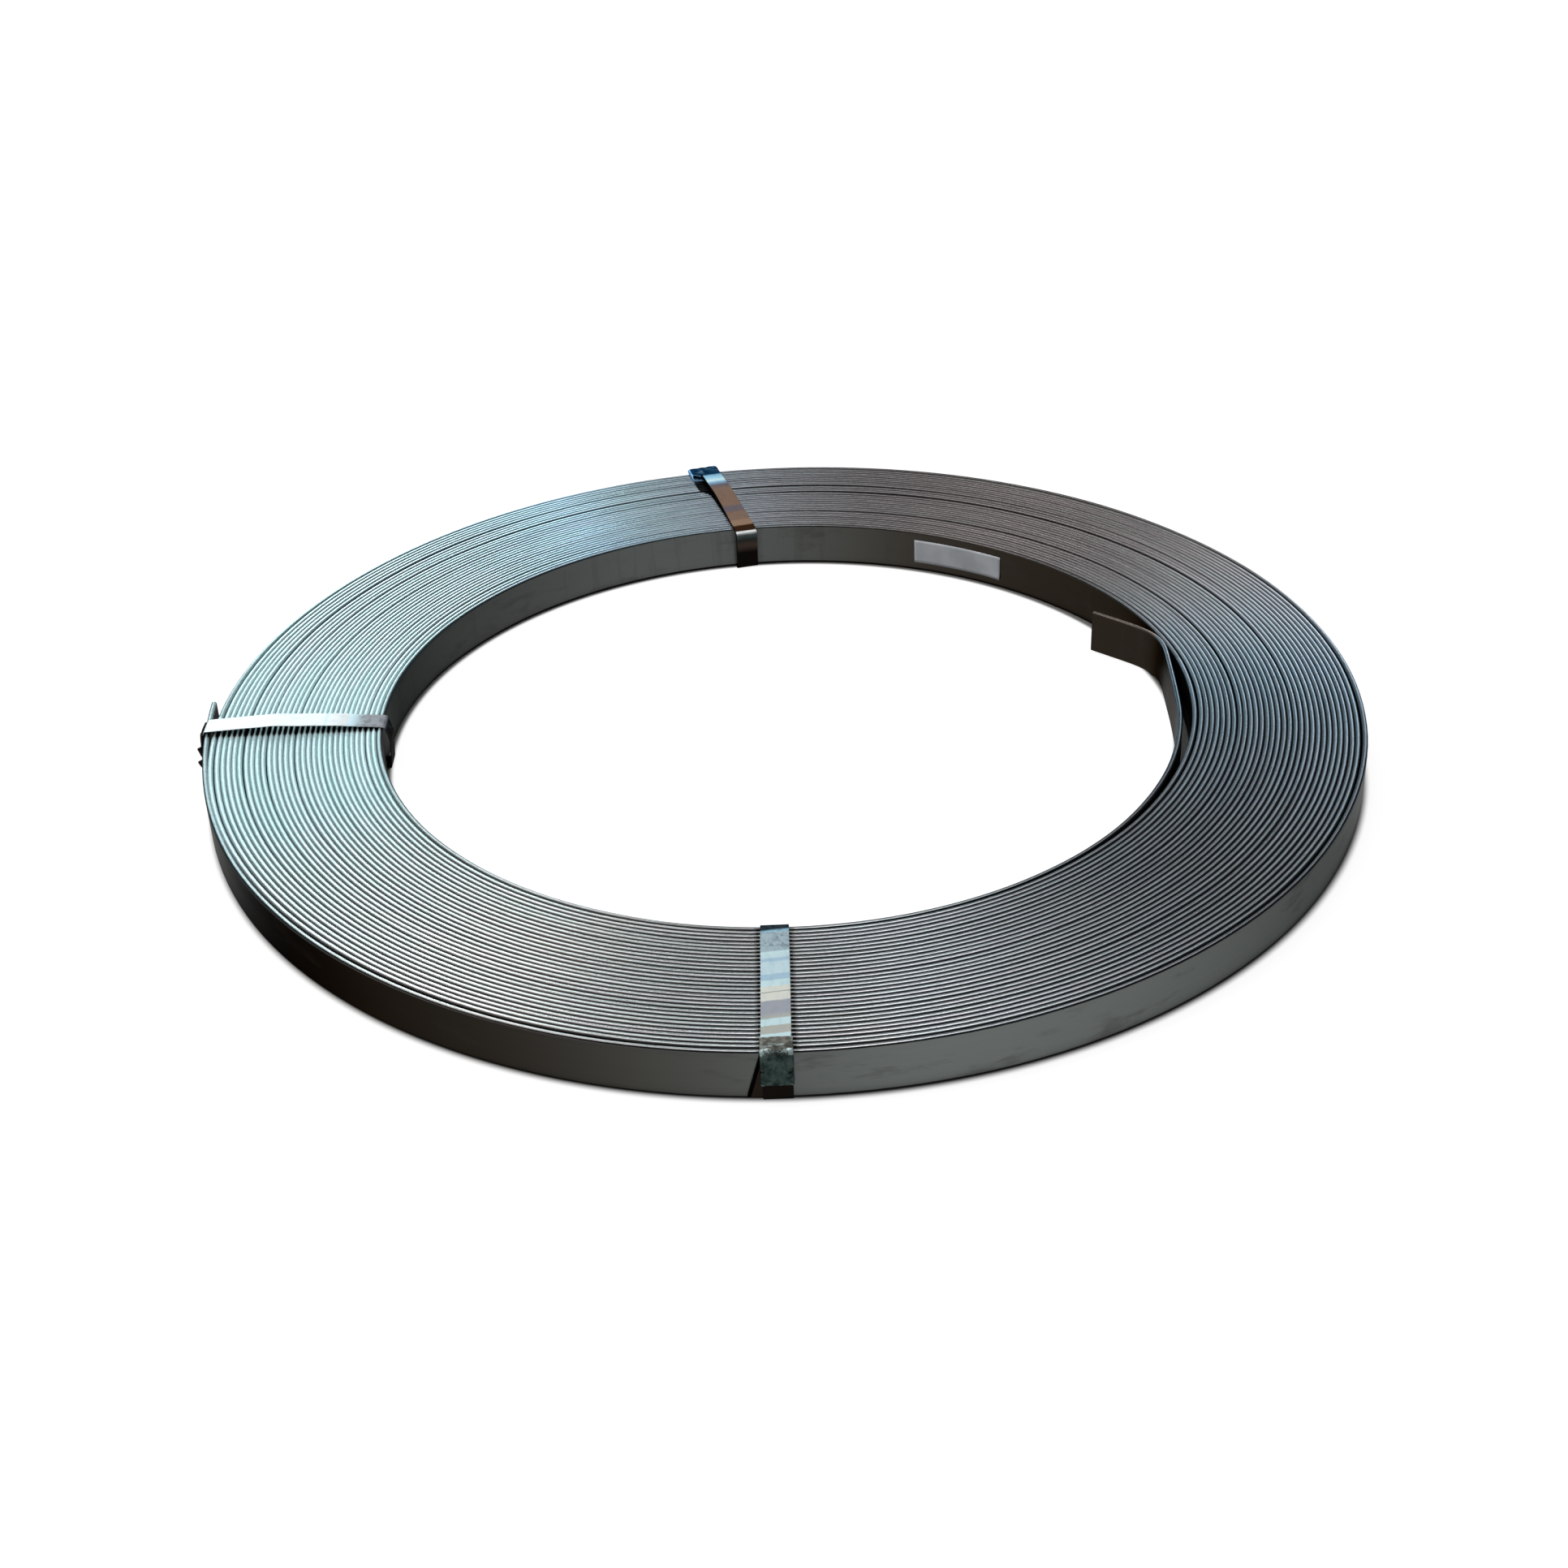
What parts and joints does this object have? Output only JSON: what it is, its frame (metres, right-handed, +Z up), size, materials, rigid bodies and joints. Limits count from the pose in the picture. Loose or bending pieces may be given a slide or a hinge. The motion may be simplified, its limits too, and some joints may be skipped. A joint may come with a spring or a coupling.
{
  "type": "earthing strip coil",
  "caption": "Flat coil of galvanised or stainless steel earthing strip, wound on edge, tied by three crimped steel straps.",
  "frame": {"origin": "on the coil's upright axis, at the level of the floor that it lies on", "axes": "+Z up along the coil's axis, -Y towards the front strap, +X away from the left strap"},
  "size_m": [0.7503, 0.7454, 0.0372],
  "materials": {
    "strip_steel": "satin, cold rolled, with rounded edges",
    "strap_steel": "bright strapping, slightly scuffed",
    "seal_steel": "dull crimped sheet",
    "label_paper": "matt, blank"
  },
  "bodies": {
    "root": {"earthing_strip": "strip_steel", "strap_front": "strap_steel", "strap_left": "strap_steel", "strap_back": "strap_steel", "seal_front": "seal_steel", "seal_left": "seal_steel", "seal_back": "seal_steel", "paper_label": "label_paper"}
  },
  "joints": []
}
